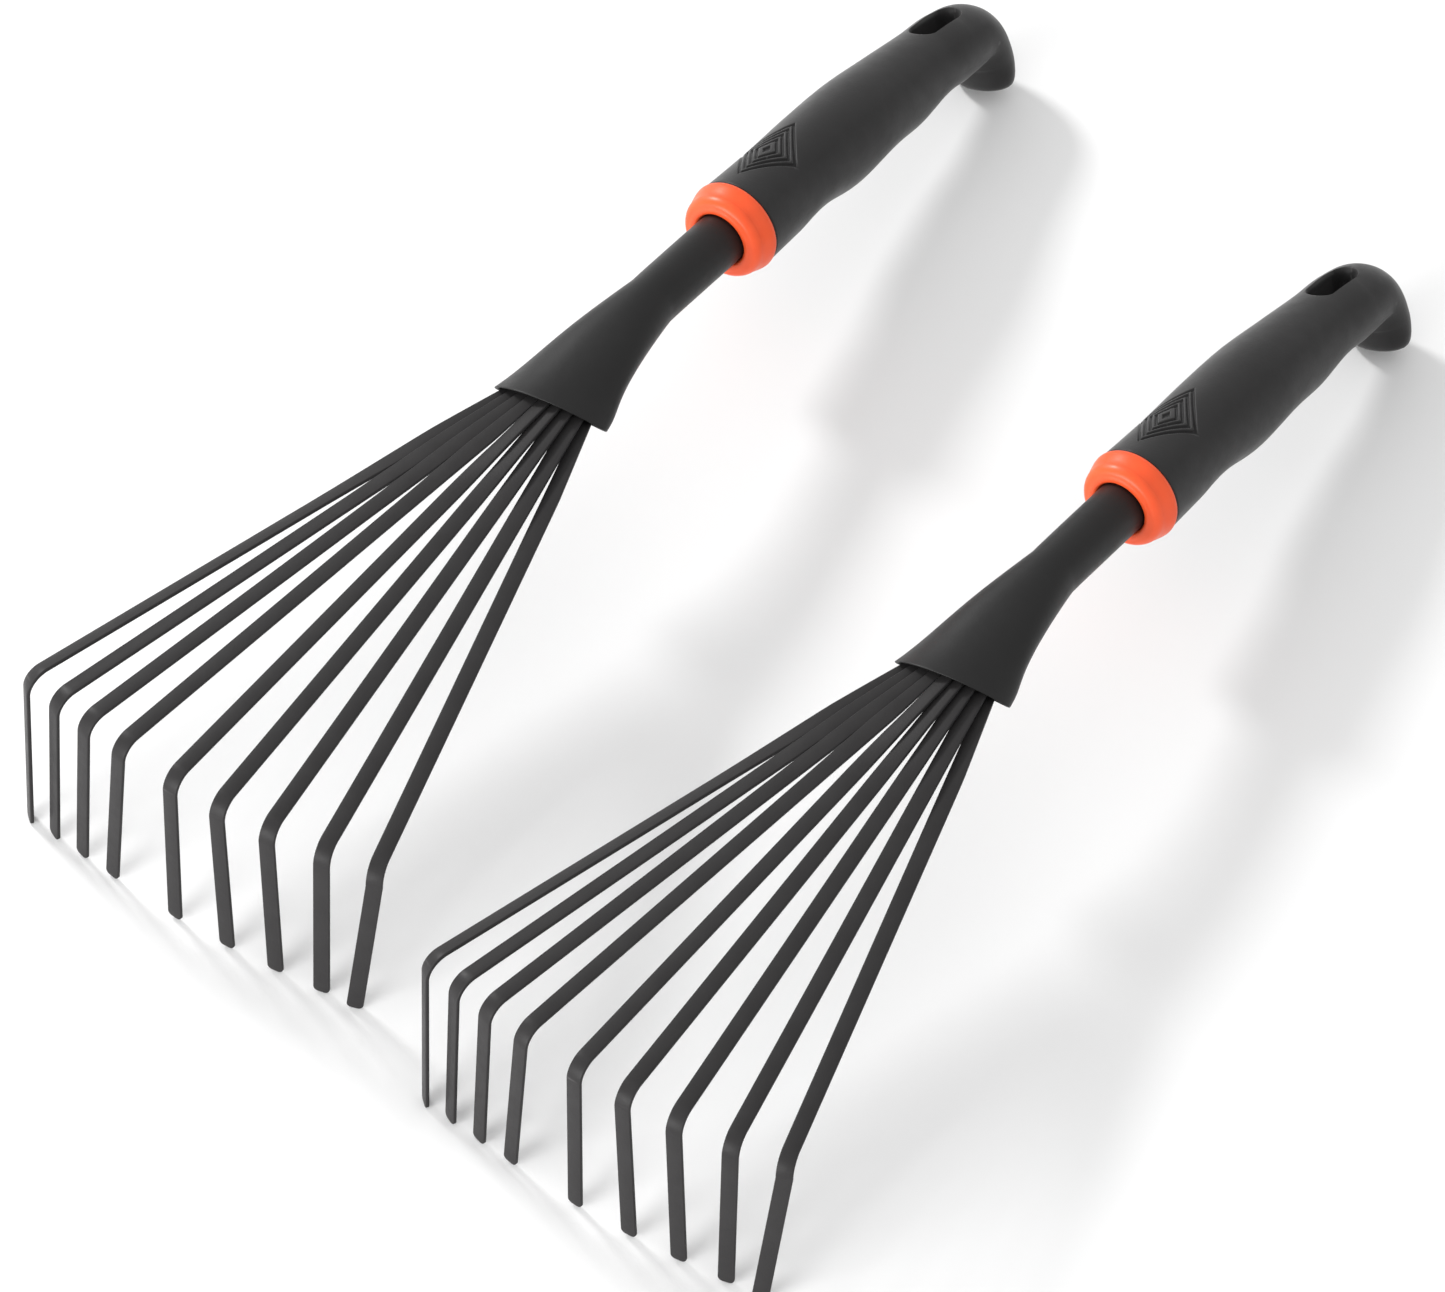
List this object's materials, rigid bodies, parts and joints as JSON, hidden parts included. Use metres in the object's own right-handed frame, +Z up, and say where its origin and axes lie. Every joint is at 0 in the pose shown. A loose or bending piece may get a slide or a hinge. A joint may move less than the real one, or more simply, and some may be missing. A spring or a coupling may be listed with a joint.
{
  "type": "hand leaf rake pair",
  "caption": "Matching hand rakes with fanned flat steel tines bent down at the ends, flared steel sockets, bright collars and soft grips with a hooked tail and hanging hole.",
  "frame": {"origin": "on the floor under the middle of the pair's bounding box", "axes": "+Y from the tines towards the handle ends, +X from the left rake to the right rake, +Z up"},
  "size_m": [0.2936, 0.4302, 0.065],
  "materials": {
    "tine_steel": "fine-textured satin powder coat",
    "socket_steel": "fine-textured satin powder coat",
    "bare_steel": "plain rolled steel, hidden in the socket",
    "plug_rubber": "matte, hidden in the tube",
    "core_plastic": "matte, hidden under the grip",
    "grip_rubber": "satin soft-touch",
    "collar_plastic": "satin"
  },
  "bodies": {
    "left_rake": {"left_tine_1": "tine_steel", "left_tine_2": "tine_steel", "left_tine_3": "tine_steel", "left_tine_4": "tine_steel", "left_tine_5": "tine_steel", "left_tine_6": "tine_steel", "left_tine_7": "tine_steel", "left_tine_8": "tine_steel", "left_tine_9": "tine_steel", "left_socket_tube": "socket_steel", "left_tine_weld_bar": "bare_steel", "left_tube_plug": "plug_rubber", "left_handle_core": "core_plastic", "left_grip": "grip_rubber", "left_collar": "collar_plastic"},
    "right_rake": {"right_tine_1": "tine_steel", "right_tine_2": "tine_steel", "right_tine_3": "tine_steel", "right_tine_4": "tine_steel", "right_tine_5": "tine_steel", "right_tine_6": "tine_steel", "right_tine_7": "tine_steel", "right_tine_8": "tine_steel", "right_tine_9": "tine_steel", "right_socket_tube": "socket_steel", "right_tine_weld_bar": "bare_steel", "right_tube_plug": "plug_rubber", "right_handle_core": "core_plastic", "right_grip": "grip_rubber", "right_collar": "collar_plastic"}
  },
  "joints": [
    {"name": "right_rake_lift", "type": "slide", "parent": "left_rake", "child": "right_rake", "axis": [0, 0, 1], "range_m": [0, 0.3]}
  ]
}
